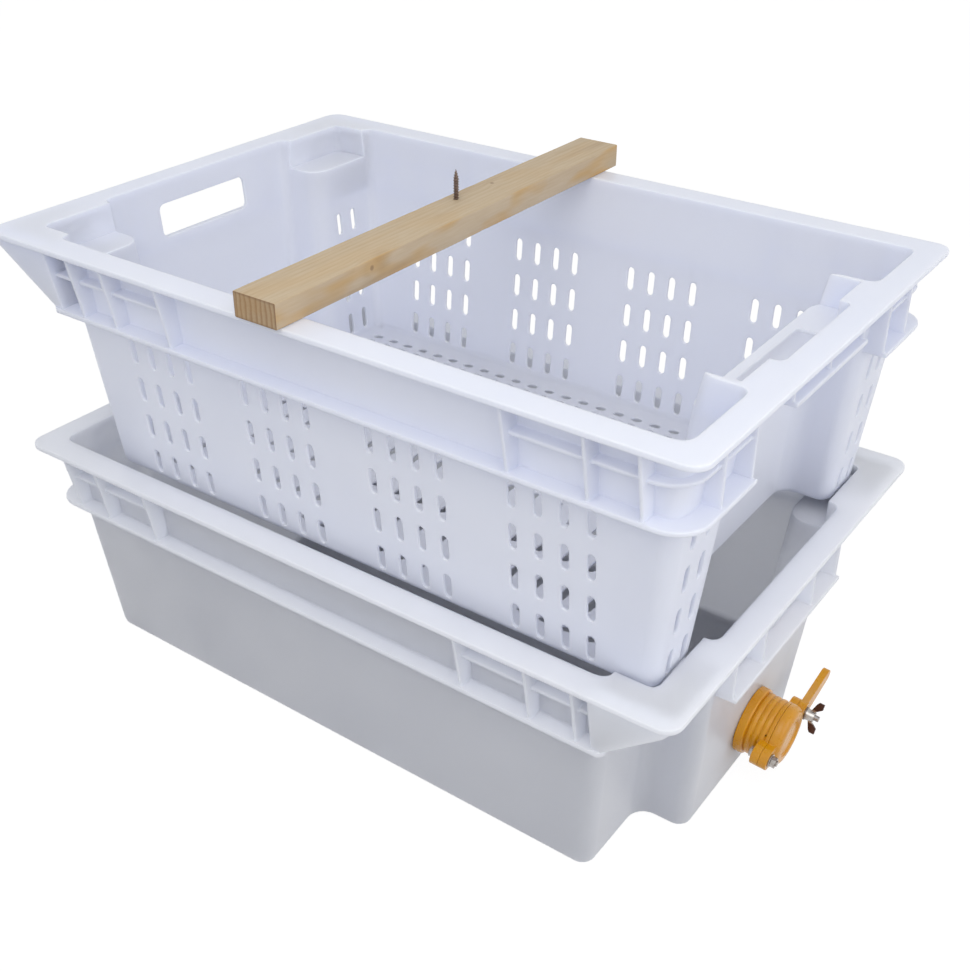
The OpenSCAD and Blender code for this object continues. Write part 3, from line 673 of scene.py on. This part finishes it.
studio = {
    "ambient": (0.920, 0.940, 0.985, 1), "ambientStrength": 0.68, "white": (1, 1, 1, 1), "whiteStrength": 1.0,
    "floor": (0.62, 0.62, 0.64, 1), "floorGlow": 0.91, "floorDiffuse": (0.15, 0.15, 0.155, 1),
    "floorSize": 12.0, "floorDrop": 0.2 * mm,
    "lamps": [
        {"name": "key", "at": (0.46, -0.80, 1.28), "aim": (0, 0, 0.2), "size": (1.3, 1.1), "watts": 7.0,
         "colour": (1.0, 0.99, 0.98)},
        {"name": "gate_fill", "at": (1.9, 0.0, 0.75), "aim": (0.2, 0, 0.2), "size": (1.4, 1.0),
         "watts": 7.0, "colour": (1.0, 0.99, 0.98)},
    ],
}

scene = bpy.context.scene
world = bpy.data.worlds.new("studio")
scene.world = world
world.use_nodes = True
tree = world.node_tree
ambient = tree.nodes["Background"]
ambient.inputs["Color"].default_value = studio["ambient"]
ambient.inputs["Strength"].default_value = studio["ambientStrength"]
white = {"Color": studio["white"], "Strength": studio["whiteStrength"]}
backdrop = addNode(tree, "ShaderNodeBackground", white)
splitByRay(tree, ambient, backdrop, "World Output")

floorMesh = bpy.data.meshes.new("floor")
reach = studio["floorSize"] / 2
floorCorners = [(-reach, -reach, 0), (reach, -reach, 0), (reach, reach, 0), (-reach, reach, 0)]
floorMesh.from_pydata(floorCorners, [], [(0, 1, 2, 3)])
floor = bpy.data.objects.new("floor", floorMesh)
floor.location.z = -studio["floorDrop"]
scene.collection.objects.link(floor)
floorMaterial = bpy.data.materials.new("floorPaper")
floorMaterial.use_nodes = True
tree = floorMaterial.node_tree
tree.nodes.remove(tree.nodes["Principled BSDF"])
paper = addNode(tree, "ShaderNodeBsdfDiffuse", {"Color": studio["floor"]})
shadowed = addNode(tree, "ShaderNodeBsdfDiffuse", {"Color": studio["floorDiffuse"]})
glow = addNode(tree, "ShaderNodeEmission", {"Color": studio["white"], "Strength": studio["floorGlow"]})
whitePaper = addNode(tree, "ShaderNodeAddShader")
tree.links.new(shadowed.outputs[0], whitePaper.inputs[0])
tree.links.new(glow.outputs[0], whitePaper.inputs[1])
splitByRay(tree, paper, whitePaper, "Material Output")
floorMesh.materials.append(floorMaterial)

for lamp in studio["lamps"]:
    light = bpy.data.lights.new(lamp["name"], "AREA")
    light.shape = "RECTANGLE"
    light.size, light.size_y = lamp["size"]
    light.energy = lamp["watts"]
    light.color = lamp["colour"]
    holder = bpy.data.objects.new(lamp["name"], light)
    holder.location = lamp["at"]
    holder.rotation_euler = (Vector(lamp["aim"]) - Vector(lamp["at"])).to_track_quat("-Z", "Y").to_euler()
    holder.visible_camera = False
    scene.collection.objects.link(holder)

shot = {"at": (0.5799, -0.7827, 0.7705), "aim": (-0.1903, 0.2989, -0.0443), "roll": 0.30, "lens": 47.22,
        "sensor": 36.0, "farthest": 100.0}
lens = bpy.data.cameras.new("camera")
lens.sensor_fit = "VERTICAL"
lens.sensor_height = shot["sensor"]
lens.lens = shot["lens"]
lens.clip_end = shot["farthest"]
camera = bpy.data.objects.new("camera", lens)
ahead = (Vector(shot["aim"]) - Vector(shot["at"])).normalized()
right = ahead.cross(Vector((0, 0, 1))).normalized()
above = right.cross(ahead)
roll = math.radians(shot["roll"])
right = right * math.cos(roll) + above * math.sin(roll)
above = right.cross(ahead)
stand = Matrix((right, above, -ahead)).transposed().to_4x4()
stand.translation = Vector(shot["at"])
camera.matrix_world = stand
scene.collection.objects.link(camera)
scene.camera = camera
scene.view_settings.view_transform = "Standard"
print("studio lit")
